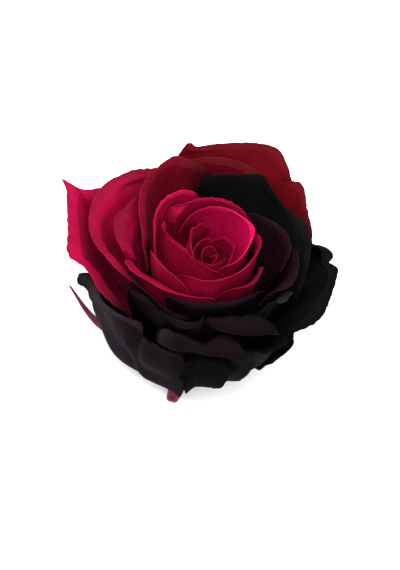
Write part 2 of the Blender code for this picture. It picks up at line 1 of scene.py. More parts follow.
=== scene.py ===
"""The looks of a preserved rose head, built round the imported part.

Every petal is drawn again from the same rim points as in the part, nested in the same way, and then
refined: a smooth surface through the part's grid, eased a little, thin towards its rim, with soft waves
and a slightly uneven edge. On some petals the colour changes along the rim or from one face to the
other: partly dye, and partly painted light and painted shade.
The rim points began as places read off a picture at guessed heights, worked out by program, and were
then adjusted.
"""

import math

import bpy
import numpy as np
from mathutils import Matrix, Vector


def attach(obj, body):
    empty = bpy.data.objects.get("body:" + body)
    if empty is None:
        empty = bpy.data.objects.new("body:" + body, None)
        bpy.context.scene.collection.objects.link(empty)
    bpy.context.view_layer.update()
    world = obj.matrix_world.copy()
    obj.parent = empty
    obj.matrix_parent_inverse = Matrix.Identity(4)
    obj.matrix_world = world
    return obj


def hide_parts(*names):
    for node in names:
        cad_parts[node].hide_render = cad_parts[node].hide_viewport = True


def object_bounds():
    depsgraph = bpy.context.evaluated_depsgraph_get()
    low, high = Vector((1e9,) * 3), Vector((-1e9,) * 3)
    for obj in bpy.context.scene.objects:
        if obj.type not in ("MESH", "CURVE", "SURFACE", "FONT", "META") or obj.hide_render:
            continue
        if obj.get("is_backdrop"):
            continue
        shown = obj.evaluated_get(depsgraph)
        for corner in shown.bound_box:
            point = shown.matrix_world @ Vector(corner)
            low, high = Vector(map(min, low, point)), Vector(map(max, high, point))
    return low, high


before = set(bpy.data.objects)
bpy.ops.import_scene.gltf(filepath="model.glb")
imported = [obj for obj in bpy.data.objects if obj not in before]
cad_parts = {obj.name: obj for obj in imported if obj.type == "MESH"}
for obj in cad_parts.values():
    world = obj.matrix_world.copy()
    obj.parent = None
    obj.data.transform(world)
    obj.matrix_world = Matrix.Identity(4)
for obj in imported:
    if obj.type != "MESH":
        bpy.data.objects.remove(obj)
CAD_LOW, CAD_HIGH = (np.array(corner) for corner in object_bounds())

MM = 0.001
BODY = "root"

# The part's own values: lengths in millimetres, angles in degrees, and counts, shares and powers
BODY_ROWS = 7
LIP_ROWS = 3
RIM_STEP = 6.5
RIM_SAMPLES = 24
HIP_OUTLINE = [(0, 0), (3.4, 0), (3.3, 1.6), (6.0, 3.0), (7.6, 5.0), (8.3, 7.6)]
DOME_RADIUS = 8.0
DOME_BASE = 8.2
DOME_TOP = 17.4
DOME_POWER = 1.4
DOME_RINGS = 5
CLAW_LIFT = 0.8
INNER_CLAW_RADIUS = 0.9
OUTER_CLAW_RADIUS = 7.5
INNER_CLAW_WIDTH = 1.3
OUTER_CLAW_WIDTH = 3.6
INNER_LEAVING_ANGLE = 82.0
OUTER_LEAVING_ANGLE = -52.0
INNER_LEAVING_REACH = 10.0
OUTER_LEAVING_REACH = 18.0
LEAVING_POWER = 2.0
INNER_RISING_REACH = 0.34
OUTER_RISING_REACH = 0.92
RISING_POWER = 3.0
FAN_POWER = 1.8
SMOOTHED_LENGTH = 4.0
DETAIL_POWER = 4.0
NEST_SPACING = 0.9
NEST_ROUNDS = 10
NEST_EASE = 0.5
NEST_SETTLED = 0.01
NEST_AZIMUTHS = 120
NEST_STEP = 0.5
NEST_LEVELS = 180
NEST_ARC_RADIUS = 20.0
INNER_TURNING_HEIGHT = 12.0
OUTER_TURNING_HEIGHT = 25.0
TURNING_POWER = 2.0
CELL_SAMPLES = 10
SEPAL_THICKNESS = 0.8
SEPAL_WIDTH = 6.4
SEPAL_TIP_WIDTH = 0.5
SEPAL_WAIST = 0.62
SEPAL_SWELLING = 2.2
SEPAL_CUP = 0.16
SEPAL_THINNING_LENGTH = 0.6

# The refined blades: lengths in millimetres, and counts and shares
ROW_STEPS = 5
COLUMN_STEPS = 6
EASING = 0.15
BLADE_THICKNESS = 0.56
RIM_THICKNESS = 0.14
THINNING_LENGTH = 3.5
WAVE_HEIGHT = 0.22
WAVE_LENGTH = 9.0
WAVE_REACH = 6.0
NICK_DEPTH = 0.14
NICK_LENGTH = 1.7
NICK_REACH = 0.7
RIPPLE_WAVES = 5
RIPPLE_SPREAD = (0.6, 1.8)
RIPPLE_SCALE = 3
HIP_SIDES = 72
SEPAL_ROWS = 48
SEPAL_COLUMNS = 12

# How soon a petal spreads out on its way up, times the usual: below 1 its foot stays narrow
SPREADING = {"plum_5": 1.5, "black_5": 0.6}

# How wide the claw of a petal is, times the usual
NARROW_CLAW = {"black_5": 0.35}

# How far the lip of a petal hangs on, straight, beyond its roll
FLAPS = {"plum_2": 2.0, "plum_3": 1.2, "plum_4": 2.8, "plum_5": 1.2}

# Each petal, from the heart outwards: its name, slot, the azimuth of its claw in degrees, its lip as
# (roll radius, angle of the blade, angle of the edge), and its rim as (azimuth, radius, height)
PETALS = [
    ("heart_1", "petal_pink", 0, (0.5, 96, 80),
     [(-110, 1.0, 37), (-60, 1.2, 40), (0, 1.4, 41), (60, 1.5, 40.5), (110, 1.6, 38)]),
    ("heart_2", "petal_pink", 150, (0.5, 96, 80),
     [(35, 2.9, 38), (90, 2.8, 41.5), (150, 2.5, 42), (205, 2.4, 41.5), (255, 2.3, 38)]),
    ("heart_3", "petal_pink", 285, (0.5, 96, 75),
     [(180, 3.5, 38), (225, 3.4, 41.5), (285, 3.3, 42), (345, 3.5, 42), (385, 3.8, 39)]),
    ("heart_4", "petal_pink", 150, (0.5, 96, 75),
     [(70, 4.3, 39), (105, 4.2, 42.5), (150, 4.2, 43), (195, 4.4, 42.5), (230, 4.6, 39)]),
    ("heart_5", "petal_pink", 25, (0.6, 96, 70),
     [(-50, 4.7, 38), (-22, 4.8, 42), (5, 4.9, 43), (25, 5.4, 44.3), (48, 5.1, 43.6), (75, 5.3, 43),
      (100, 5.6, 39)]),
    ("heart_6", "petal_pink", 180, (0.8, 95, 50),
     [(98, 8.6, 40), (120, 7.8, 44.6), (143, 6.5, 46), (158, 6.6, 46.6), (172, 5.9, 46),
      (192, 5.6, 45), (220, 5.6, 44), (256, 5.6, 40)]),
    ("bud_1", "petal_pink", 30, (0.8, 92, 40),
     [(-80, 6.5, 40), (-60, 6.8, 45), (-42, 7.0, 46), (-20, 7.4, 46.6), (2, 8.2, 47),
      (18, 9.3, 47.6), (33, 10.4, 48.4), (53, 10.3, 48), (79, 10.3, 48), (105, 10.1, 48),
      (128, 9.8, 47), (145, 9.9, 45), (154, 10.1, 41)]),
    ("bud_2", "petal_pink", 232, (0.9, 92, 30),
     [(156, 13.0, 41), (163, 13.6, 45.4), (172, 13.5, 46), (180, 12.0, 46), (190, 9.4, 46),
      (205, 7.4, 46), (230, 6.9, 46), (254, 7.2, 46), (276, 7.9, 46), (296, 8.5, 45),
      (312, 8.6, 41)]),
    ("bud_3", "petal_pink", 108, (0.8, 92, 40),
     [(46, 11.6, 43), (60, 11.5, 48), (80, 11.6, 49), (100, 11.9, 49), (120, 12.0, 49),
      (138, 12.2, 48.6), (150, 12.2, 47), (157, 12.0, 43)]),
    ("bud_4", "petal_pink", 163, (1.0, 90, 30),
     [(113, 13.0, 43), (120, 13.5, 48.6), (132, 15.0, 50), (148, 15.8, 50), (163, 15.9, 49.2),
      (180, 15.4, 48.2), (196, 14.6, 46.6), (208, 14.2, 42)]),
    ("bud_5", "petal_pink", 318, (1.0, 90, 20),
     [(228, 12.5, 40), (240, 12.8, 45), (252, 12.6, 46.4), (266, 12.1, 46.6), (282, 11.1, 46.4),
      (300, 10.4, 46.2), (321, 10.1, 46), (340, 10.2, 46), (358, 10.6, 46), (15, 11.4, 46.4),
      (30, 11.7, 46), (42, 12.0, 42)]),
    ("bud_6", "petal_pink", 228, (1.2, 88, 10),
     [(196, 14.6, 41), (202, 15.4, 45.4), (208, 15.6, 46.2), (218, 15.5, 46.6), (229, 14.8, 46.6),
      (242, 14.3, 46), (252, 14.0, 44), (259, 13.9, 39)]),
    ("bud_7", "petal_pink", 318, (0.9, 88, 10),
     [(272, 12.8, 34), (281, 12.6, 39), (290, 12.6, 43), (301, 13.0, 44.6), (312, 13.5, 44.8),
      (325, 13.9, 44.8), (340, 13.4, 44.6), (353, 12.8, 43.6), (366, 12.7, 39)]),
    ("purple_1", "petal_purple", 40, (1.4, 84, 20),
     [(4, 17.6, 39), (13, 19.2, 43.6), (25, 19.3, 45), (37, 18.2, 45.2), (50, 16.4, 45),
      (62, 15.0, 44.4), (74, 14.6, 40)]),
    ("black_1", "petal_black", 78, (1.6, 80, 25),
     [(36, 22.4, 38), (45, 23.2, 43.4), (56, 23.7, 44.6), (66, 24.8, 45.8), (73, 25.6, 46.6),
      (84, 23.2, 46.4), (96, 21.6, 46.6), (107, 20.2, 46), (119, 18.4, 41)]),
    ("red_1", "petal_red", 144, (1.8, 80, 20),
     [(96, 23.4, 40), (104, 24.2, 45), (113, 25.6, 46.6), (121, 27.4, 47.4), (130, 26.2, 47.6),
      (142, 24.6, 48), (151, 23.2, 48), (160, 21.6, 48), (170, 19.8, 48), (179, 18.5, 47),
      (188, 17.5, 46), (198, 16.7, 45), (206, 15.9, 43.4), (210, 15.6, 39)]),
    ("pink_1", "petal_pink", 186, (2.0, 80, -10),
     [(145, 24.2, 40), (152, 22.6, 44.4), (158, 23.0, 44.4), (165, 24.2, 44), (173, 25.2, 43.6),
      (182, 24.2, 43), (189, 22.8, 42.4), (193, 21.7, 41.2), (195, 20.4, 38.8)]),
    ("pink_2", "petal_pink", 238, (1.4, 84, 0),
     [(198, 20.2, 40.2), (201, 21.4, 41.8), (206, 21.5, 42.4), (213, 20.6, 42.6), (222, 19.1, 42.8),
      (235, 17.5, 43.2), (249, 16.2, 43.6), (267, 14.9, 43.6), (281, 14.2, 43.2), (291, 14.2, 39)]),
    ("purple_2", "petal_purple", 285, (1.2, 84, 10),
     [(237, 17.4, 38), (243.5, 17.8, 42.4), (251, 17.8, 43.4), (260, 17.4, 43.8), (270, 16.8, 43.8),
      (285, 16.1, 43.8), (300, 15.9, 43.8), (315, 16.0, 43.8), (328, 16.1, 43.2), (338, 16.2, 39)]),
    ("purple_3", "petal_purple", 368, (1.5, 82, 0),
     [(326, 16.4, 38), (331, 16.6, 42), (337, 18.2, 42.6), (343, 20.3, 43), (350, 21.2, 44),
      (360, 21.3, 44.4), (370, 20.9, 44.2), (379, 20.6, 43), (388, 20.6, 38)]),
    ("plum_1", "petal_plum", 330, (1.2, 80, -30),
     [(320, 16.6, 34), (327, 17.0, 38.6), (334, 17.8, 39.8), (337, 20.2, 39.4), (342, 21.4, 39.8),
      (349, 21.6, 40), (356, 21.8, 35)]),
    ("plum_2", "petal_plum", 296, (1.2, 82, -40),
     [(273, 16.6, 31), (276, 16.6, 36.4), (279, 17.6, 38.2), (285, 19.0, 37.8), (291, 19.9, 37.2),
      (298, 20.6, 36.8), (306, 21.5, 36.4), (314, 22.7, 36.2), (322, 24.2, 36), (330, 23.6, 32)]),
    ("pink_3", "petal_pink", 196, (1.8, 68, 0),
     [(124, 27.4, 38), (128, 27.6, 43.2), (133, 28.2, 44), (139, 29.6, 44), (146, 30.8, 43.8),
      (156, 32.6, 42.6), (166, 32.4, 41.6), (177, 31.0, 41), (188, 28.6, 41), (199, 25.2, 41),
      (207, 23.4, 41), (213, 22.1, 41), (220, 20.6, 40.8), (229, 18.8, 40.2), (239, 17.6, 39.2),
      (250, 17.0, 38.6), (259, 16.9, 38.2), (264, 16.8, 37.8), (267, 15.8, 36)]),
    ("black_2", "petal_black", 42, (1.8, 74, 10),
     [(8, 23.6, 26), (14, 24.8, 32), (20, 25.6, 36.6), (26, 26.1, 39.4), (32, 26.6, 40.6),
      (38, 27.0, 41.4), (45, 26.0, 41.8), (53, 25.2, 41.2), (61, 25.0, 36)]),
    ("plum_3", "petal_plum", 246, (1.3, 82, -50),
     [(206, 22.6, 32), (210, 23.0, 36), (216, 22.4, 38), (223, 21.0, 38.8), (230, 19.8, 39.2),
      (236, 19.4, 38.8), (243, 19.6, 38.2), (251, 20.1, 37.6), (258, 20.3, 37), (265, 19.8, 36.9),
      (271, 18.8, 37.1), (275.5, 17.4, 38.4), (275, 16.2, 38.4)]),
    ("red_2", "petal_red", 94, (2.2, 70, 10),
     [(66, 28.2, 36), (75, 29.6, 41.6), (86, 30.2, 43), (97, 30.0, 43.4), (108, 29.6, 43),
      (118, 29.8, 40), (125, 29.6, 35)]),
    ("red_3", "petal_red", 48, (2.0, 66, 15),
     [(29, 28.0, 31), (33, 28.4, 37), (37, 29.0, 38.4), (42, 29.8, 39), (49, 31.4, 40),
      (54, 33.2, 41), (58.5, 34.0, 41.8), (64, 31.6, 41.2), (71, 30.6, 36)]),
    ("black_3", "petal_black", 322, (1.4, 80, -20),
     [(299, 20.8, 24), (305, 21.8, 29.4), (311, 23.4, 30.6), (317, 24.9, 30.4), (325, 25.2, 29.6),
      (334, 25.0, 27.8), (340, 24.4, 23)]),
    ("plum_4", "petal_plum", 275, (1.7, 82, -55),
     [(245, 20.4, 25), (247.5, 21.6, 30), (250.5, 22.9, 31.6), (256, 22.6, 30.8), (263, 22.1, 30.4),
      (271, 21.7, 30.4), (280, 21.9, 30.4), (290, 22.2, 30.2), (299, 22.9, 30.2), (306, 22.3, 29),
      (313, 21.0, 25)]),
    ("pink_4", "petal_pink", 172, (2.2, 62, 0),
     [(136, 31.2, 33), (145, 32.8, 37.2), (152, 34.0, 38.2), (158, 36.2, 38.8), (160, 39.2, 39),
      (160.2, 43.0, 39.6), (163.4, 40.4, 39), (168, 38.6, 38.6), (175, 36.6, 38.4),
      (182, 35.4, 38.2), (189, 35.0, 38), (193, 33.8, 37.6), (196, 31.0, 36.8), (200, 29.3, 36),
      (204.5, 28.4, 35.2), (209, 27.6, 34.8), (214, 26.6, 34.2), (219, 25.2, 33.8),
      (222.5, 23.4, 32.4), (223, 22.4, 28)]),
    ("black_4", "petal_black", 2, (2.2, 46, -10),
     [(337, 20.6, 16), (338.5, 22.4, 21), (341, 23.8, 25), (343, 25.4, 28), (345.5, 27.2, 29.8),
      (349, 29.2, 31.6), (353, 30.4, 33.4), (358, 30.8, 34.6), (363, 31.2, 35.4), (369, 31.9, 36.2),
      (374.5, 32.4, 37.4), (378, 29.8, 38), (384, 28.4, 37.4), (391, 27.8, 35.4), (398, 28.0, 32.4),
      (404, 28.6, 28)]),
    ("red_4", "petal_red", 92, (2.4, 62, 10),
     [(58, 34.6, 32), (65, 36.0, 39.4), (74, 38.4, 43.4), (83, 36.8, 44), (94, 34.6, 44),
      (102, 33.2, 44), (108, 32.2, 44.2), (111.5, 32.2, 46), (114.5, 31.4, 44.4), (118, 31.0, 40),
      (124, 31.2, 33)]),
    ("plum_5", "petal_plum", 248, (1.2, 92, -35),
     [(162, 19.2, 11.6), (169.5, 20.8, 16), (177, 22.0, 20.2), (184, 23.0, 23.8), (189, 25.8, 26.8),
      (193.5, 30.2, 31.2), (197, 31.8, 33.2), (200, 32.0, 32.8), (202.5, 30.4, 32.8),
      (206, 29.6, 33.0), (210, 29.4, 33.0), (214, 28.4, 33.0), (218, 26.9, 32.8), (222, 25.0, 32.3),
      (227, 23.6, 31.6), (233, 22.7, 30.6), (240, 22.4, 29.9), (248, 22.3, 29), (257, 21.9, 28.4),
      (264, 21.8, 27.2), (270, 21.7, 24.6), (274, 21.2, 19)]),
    ("black_5", "petal_black", 285, (0.8, 88, 50),
     [(267, 21.8, 18), (268.5, 22.4, 24), (270.5, 22.4, 28.4), (275, 21.7, 28.8), (283, 21.7, 28.8),
      (290, 22.1, 28.5), (297, 22.6, 27.8), (301.5, 22.9, 26.6), (302.5, 22.4, 23.5)]),
    ("red_5", "petal_red", 135, (1.4, 80, 10),
     [(104, 32.0, 18), (112, 32.8, 24), (123, 33.0, 27.6), (135, 33.2, 28.6), (148, 33.6, 27),
      (158, 33.2, 23), (165, 32.4, 17)]),
]

# How much fuller the belly of a petal is than its place in the spiral gives
FULLER = {"plum_5": 0.03, "black_5": -0.26, "red_5": -0.2, "red_4": -0.04, "pink_4": -0.08, "plum_4": -0.10}

# How many times wider a lip is, at even steps from the start of the rim to its end
WIDER_LIP = {
    "red_1": (1.0, 1.4),
    "pink_1": (2.4, 1.6),
    "plum_2": (0.6, 1.4, 1.9, 1.9, 1.1),
    "pink_2": (1.2, 2.4, 2.6, 1.6, 1.0),
    "pink_3": (3.6, 3.0, 2.0, 1.0, 0.7),
    "pink_4": (2.6, 2.2, 1.8, 1.4, 0.8),
    "black_4": (1.4, 1.6, 1.6, 1.0, 0.5),
    "plum_4": (1.0, 1.6, 1.8, 1.2, 1.3, 0.5),
    "plum_5": (0.2, 0.2, 0.2, 0.2, 0.8, 1.9, 1.8, 1.9, 1.5, 0.6, 0.7, 0.8, 0.5, 0.3),
}

# Each sepal: its azimuth, how fast it narrows, and its middle line as (radius, height)
SEPALS = [
    (181, 0.8,
     [(5.6, 5.4), (9.0, 2.4), (13.0, 0.7), (17.0, 0.4), (20.6, 0.9), (25.0, 3.6), (28.4, 8.0),
      (31.0, 12.6), (33.4, 17.0)]),
    (265, 0.2,
     [(5.6, 5.0), (8.4, 2.8), (11.4, 1.2), (14.0, 0.6), (15.4, 0.4), (16.2, 0.5), (17.0, 0.7), (17.6, 1.0)]),
    (338, 0.7,
     [(5.6, 5.4), (7.6, 3.6), (9.6, 2.2), (11.6, 1.2), (13.4, 0.5), (14.8, 0.4), (16.0, 0.4)]),
    (42, 0.7,
     [(5.6, 5.4), (9.0, 2.4), (13.0, 0.7), (17.6, 0.4), (22.4, 1.3), (26.6, 4.0), (29.6, 7.6), (31.4, 11.4)]),
    (112, 0.7,
     [(5.6, 5.4), (9.0, 2.4), (13.0, 0.7), (17.6, 0.4), (22.2, 0.9), (26.4, 2.4), (29.8, 4.4), (32.6, 5.4)]),
]

# Dyes, linear red, green and blue, adjusted until most of a set of small patches came close to the
# picture
# pink and fuchsia are the petals' pink made brighter: painted light on the faces that it falls on
DYES_AND_PAINTED_LIGHT = {
    "pink": (0.62, 0.0040, 0.082),
    "fuchsia": (0.29, 0.0018, 0.031),
    "cerise": (0.22, 0.0015, 0.022),
    # rose is a darker pink: partly dye and partly painted shade
    "rose": (0.15, 0.0013, 0.014),
    "crimson": (0.105, 0.0016, 0.0065),
    "red": (0.080, 0.0012, 0.0040),
    "brown": (0.022, 0.0026, 0.0040),
    "umber": (0.0068, 0.0028, 0.0033),
    "purple": (0.010, 0.0025, 0.0056),
    "violet": (0.0100, 0.0046, 0.0094),
    "pale": (0.0190, 0.0145, 0.0155),
    "ash": (0.0105, 0.0080, 0.0086),
    "dusk": (0.0050, 0.0030, 0.0046),
    "grey": (0.0060, 0.0037, 0.0043),
    "slate": (0.0035, 0.0026, 0.0028),
    "black": (0.0034, 0.0036, 0.0038),
    "soot": (0.0058, 0.0062, 0.0060),
    "ink": (0.0012, 0.0012, 0.0013),
}

# The plain dye of each slot's petals
PLAIN_DYE = {
    "petal_pink": "cerise",
    "petal_red": "red",
    "petal_purple": "purple",
    "petal_plum": "grey",
    "petal_black": "black",
}

# What a petal is coloured along its rim, from start to end, as (share of the rim, dye): inside, then outside.
# The pink and fuchsia on bud_1, bud_4 and pink_4 are painted light, and rose is partly painted shade.
# A petal without an entry has its slot's plain dye.
RIM_DYES_AND_PAINTED_LIGHT = {
    "bud_1": ([(0.0, "pink"), (0.5, "pink"), (0.72, "fuchsia"), (1.0, "cerise")],
              [(0.0, "cerise"), (1.0, "cerise")]),
    "bud_4": ([(0.0, "fuchsia"), (1.0, "fuchsia")], [(0.0, "cerise"), (1.0, "cerise")]),
    "bud_7": ([(0.0, "rose"), (1.0, "rose")], [(0.0, "crimson"), (0.5, "rose"), (1.0, "rose")]),
    "red_1": ([(0.0, "black"), (0.06, "brown"), (0.2, "crimson"), (0.6, "rose"), (1.0, "crimson")],
              [(0.0, "red"), (1.0, "rose")]),
    "pink_1": ([(0.0, "crimson"), (0.3, "rose"), (0.6, "rose"), (1.0, "cerise")],
               [(0.0, "rose"), (1.0, "cerise")]),
    "plum_1": ([(0.0, "black"), (0.3, "ash"), (0.6, "pale"), (1.0, "ash")],
               [(0.0, "black"), (1.0, "slate")]),
    "plum_2": ([(0.0, "slate"), (0.3, "umber"), (1.0, "slate")], [(0.0, "slate"), (1.0, "black")]),
    "pink_3": ([(0.0, "crimson"), (0.16, "rose"), (0.3, "cerise"), (0.5, "cerise"), (0.66, "brown"),
                (1.0, "slate")],
               [(0.0, "crimson"), (0.3, "cerise"), (0.5, "rose"), (0.64, "brown"), (1.0, "slate")]),
    "black_2": ([(0.0, "soot"), (0.7, "soot"), (1.0, "brown")], [(0.0, "soot"), (1.0, "brown")]),
    "plum_3": ([(0.0, "brown"), (0.25, "umber"), (0.5, "slate"), (1.0, "ash")],
               [(0.0, "umber"), (0.3, "slate"), (1.0, "grey")]),
    "red_3": ([(0.0, "brown"), (0.5, "red"), (1.0, "red")],
              [(0.0, "brown"), (0.5, "red"), (1.0, "red")]),
    "plum_4": ([(0.0, "pale"), (0.4, "slate"), (0.7, "umber"), (1.0, "slate")],
               [(0.0, "grey"), (0.5, "slate"), (1.0, "black")]),
    "pink_4": ([(0.0, "rose"), (0.3, "fuchsia"), (0.6, "fuchsia"), (0.78, "rose"), (0.92, "brown"),
                (1.0, "slate")],
               [(0.0, "rose"), (0.3, "fuchsia"), (0.72, "fuchsia"), (0.9, "brown"), (1.0, "slate")]),
    "red_4": ([(0.0, "crimson"), (0.5, "red"), (1.0, "rose")], [(0.0, "red"), (1.0, "crimson")]),
    "plum_5": ([(0.0, "slate"), (0.35, "ash"), (0.55, "pale"), (1.0, "grey")],
               [(0.0, "violet"), (0.5, "violet"), (0.62, "dusk"), (1.0, "dusk")]),
    "black_5": ([(0.0, "ink"), (1.0, "ink")], [(0.0, "ink"), (1.0, "ink")]),
}

# Petals that turn to another colour away from their rim: the dye, and the distances in mm over which it
# comes in, outside the petal and inside it. A face that keeps its dye has distances that none of its
# points reaches. On purple_2, plum_2 and plum_5 it turns darker away from the rim; on pink_2 the darker
# rose is painted shade deeper in the flower, and on pink_1 and pink_3 the brighter pink is painted light
# on an inner wall that lies in shade.
DEEPER_DYE_AND_PAINTED_LIGHT = {
    "purple_2": ("ink", (1.6, 3.4), (1.6, 3.4)),
    "plum_2": ("slate", (2.2, 4.4), (3.0, 5.0)),
    "plum_5": ("dusk", (14.0, 34.0), (6.5, 10.0)),
    "pink_2": ("rose", (5.0, 12.0), (7.0, 14.0)),
    "pink_1": ("pink", (30.0, 40.0), (4.0, 8.0)),
    "pink_3": ("fuchsia", (30.0, 40.0), (5.0, 10.0)),
}

# What each slot's material adds to the dye: its gloss and, on two of them, a trace of tinted sheen
FINISHES = {
    "petal_pink": {"gloss": 0.03, "sheen": 0.01, "tint": (1.0, 0.35, 0.6)},
    "petal_red": {"gloss": 0.03, "sheen": 0.008, "tint": (1.0, 0.5, 0.5)},
    "petal_purple": {"gloss": 0.02},
    "petal_plum": {"gloss": 0.008},
    "petal_black": {"gloss": 0.004},
}
PETAL_ROUGHNESS = 0.62
SHEEN_ROUGHNESS = 0.45

# The petals' noises, as (scale, detail, roughness): the veins' scale is per millimetre of the petal, much
# finer along its rim than up to it, and the others' are per metre
VEIN_STRETCH = (2.4, 0.10, 1)
VEIN_NOISE = (1.0, 3, 0.6)
MOTTLE_NOISE = (190.0, 3, 0.5)
GRAIN_NOISE = (2600.0, 2, 0.5)

# The petals' layers: the band over which each comes in, in shares of the noise or in millimetres from the
# free edge, how strong it is, and what it multiplies the dye by
MOTTLE_BAND = (0.35, 0.7)
MOTTLE_DEPTH = 0.5
MOTTLE_TINT = (0.55, 0.55, 0.6)
VEIN_BAND = (0.42, 0.68)
VEIN_DEPTH = 0.45
VEIN_TINT = (0.5, 0.45, 0.5)
LIP_BAND = (0.5, 3.0)
LIP_SHADE = 0.6
LIP_TINT = (0.45, 0.45, 0.45)
# The pale line along the free edge of a petal is a painted highlight
RIM_HIGHLIGHT_BAND = (0.08, 0.40)
RIM_HIGHLIGHT = 0.8
RIM_HIGHLIGHT_TINT = (1.7, 1.7, 1.7)
GRAIN_SHARE = 0.35
PETAL_BUMP = 0.35
PETAL_BUMP_DEPTH = 0.00012

# The dry calyx, in the same terms
SEPAL_ROUGHNESS = 0.55
SEPAL_GLOSS = 0.3
SEPAL_RED = (0.15, 0.014, 0.030)
SEPAL_BROWN = (0.07, 0.018, 0.022)
SEPAL_STREAK = (0.30, 0.06, 0.10)
SEPAL_EDGE = (0.34, 0.08, 0.13)
STREAK_STRETCH = (1, 1, 0.5)
STREAK_NOISE = (700.0, 4, 0.65)
STREAK_BAND = (0.4, 0.65)
STREAK_DEPTH = 0.6
BLOTCH_NOISE = (160.0, 3, 0.5)
BLOTCH_BAND = (0.35, 0.65)
SEPAL_EDGE_BAND = (0.1, 0.6)
SEPAL_EDGE_WEAR = 0.5
SEPAL_BUMP = 0.5
SEPAL_BUMP_DEPTH = 0.0002

# Where the Mix node has its factor and its colours among its sockets
MIX_FACTOR = 0
MIX_FIRST = 6
MIX_SECOND = 7
MIX_RESULT = 2

# Lights that face the flower: name, azimuth and elevation in degrees, distance and size in m, power in W
LIGHTS = [
    ("key", 230, 68, 0.9, 0.7, 10),
    ("top", 90, 78, 1.0, 0.8, 14),
    ("fill", 300, 45, 1.1, 1.0, 9),
]
WORLD_STRENGTH = 0.72
FLOOR_HALF = 3.0
FLOOR_DROP = 0.00005
FLOOR_WHITE = 0.93
FLOOR_ROUGHNESS = 0.9
FLOOR_GLOW = 0.10

# Camera, in millimetres, degrees and pixels: the photograph looks down on the flower, slightly rolled
IMAGE_WIDTH = 400
IMAGE_HEIGHT = 570
ELEVATION = 53.0
ROLL = 13.0
DISTANCE = 420.0
PIXELS_PER_MM = 4.12
HEART = np.array([0.0, 0.0, 42.0])
HEART_PIXEL = (211.7, 254.0)
SENSOR = 36.0
NEAREST = 10.0


def catmull_rom(points, samples):
    """The smooth curve through the points, with this many samples for each stretch."""
    points = np.asarray(points, float)
    before = 2 * points[0] - points[1]
    after = 2 * points[-1] - points[-2]
    knots = np.vstack([before, points, after])
    t = np.linspace(0, 1, samples, endpoint=False)[:, None]
    stretches = []
    for a, b, c, d in zip(knots[:-3], knots[1:-2], knots[2:-1], knots[3:]):
        stretches.append(
            0.5 * (2 * b + (c - a) * t + (2 * a - 5 * b + 4 * c - d) * t**2 + (3 * b - a - 3 * c + d) * t**3)
        )
    return np.vstack([*stretches, points[-1:]])


def evenly_spaced(curve, count):
    """This many points of the curve, at equal lengths along it."""
    steps = np.linalg.norm(np.diff(curve, axis=0), axis=1)
    length_along = np.concatenate([[0], np.cumsum(steps)])
    wanted = np.linspace(0, length_along[-1], count)
    return np.stack([np.interp(wanted, length_along, column) for column in curve.T], axis=1)


def unwrapped(rim):
    """The rim's points with azimuths that only rise, in radians."""
    rim = np.asarray(rim, float)
    rim[:, 0] = np.unwrap(np.radians(rim[:, 0]))
    return rim


def rim_edge(rim, step):
    """(points along the rim about a step apart, the length along the rim at each)

    Every given point stays among them, so tips and corners keep their place.
    """
    dense = catmull_rom(unwrapped(rim), RIM_SAMPLES)
    lengths = np.linalg.norm(np.diff(on_axis(*dense.T), axis=0), axis=1)
    edge = []
    for start in range(0, len(dense) - 1, RIM_SAMPLES):
        stretch = lengths[start : start + RIM_SAMPLES].sum()
        pieces = max(1, round(stretch / step))
        edge += [dense[start + round(RIM_SAMPLES * i / pieces)] for i in range(pieces)]
    edge = np.array([*edge, dense[-1]])
    along = np.concatenate([[0], np.cumsum(np.linalg.norm(np.diff(on_axis(*edge.T), axis=0), axis=1))])
    return edge, along


def smoothed(values, along):
    """The values along a rim, each averaged over the rim near it."""
    weights = np.exp(-(((along[:, None] - along) / SMOOTHED_LENGTH) ** 2) / 2)
    return weights @ values / weights.sum(axis=1, keepdims=True)


def on_axis(azimuth, radius, height):
    return np.stack([radius * np.cos(azimuth), radius * np.sin(azimuth), height], axis=-1)


def dome_height(radius):
    return DOME_TOP - (DOME_TOP - DOME_BASE) * (radius / DOME_RADIUS) ** DOME_POWER


def lip_curl(roll, start, end, flap):
    """(outward, upward) steps from the top of the blade over the roll and down the flap, if it has one."""
    rolled = np.linspace(start, end, LIP_ROWS if flap else LIP_ROWS + 1)
    curl = np.stack([math.sin(start) - np.sin(rolled), np.cos(rolled) - math.cos(start)], axis=1) * roll
    if flap:
        curl = np.vstack([curl, curl[-1] + flap * np.array([math.cos(end), math.sin(end)])])
    return curl


def rib(foot, rim_point, leaving, reach, rising, lip, flap):
    """The (radius, height) points of one rib, from the claw to the edge of the lip."""
    roll, blade_angle, edge_angle = lip
    start, end = math.radians(blade_angle), math.radians(edge_angle)
    curl = lip_curl(roll, start, end, flap)
    top = rim_point - curl[-1]
    length = np.linalg.norm(top - foot)
    first = foot + reach * np.array([math.cos(leaving), math.sin(leaving)])
    second = top - rising * length * np.array([math.cos(start), math.sin(start)])
    t = np.linspace(0, 1, BODY_ROWS + 1)[:, None]
    body = (1 - t) ** 3 * foot + 3 * (1 - t) ** 2 * t * first + 3 * (1 - t) * t**2 * second + t**3 * top
    return np.vstack([body, top + curl[1:]])


def lip_widening(name, across):
    """How many times wider the lip is at this place across the petal, from -1 to 1."""
    steps = WIDER_LIP.get(name, (1, 1))
    return np.interp(across, np.linspace(-1, 1, len(steps)), steps)


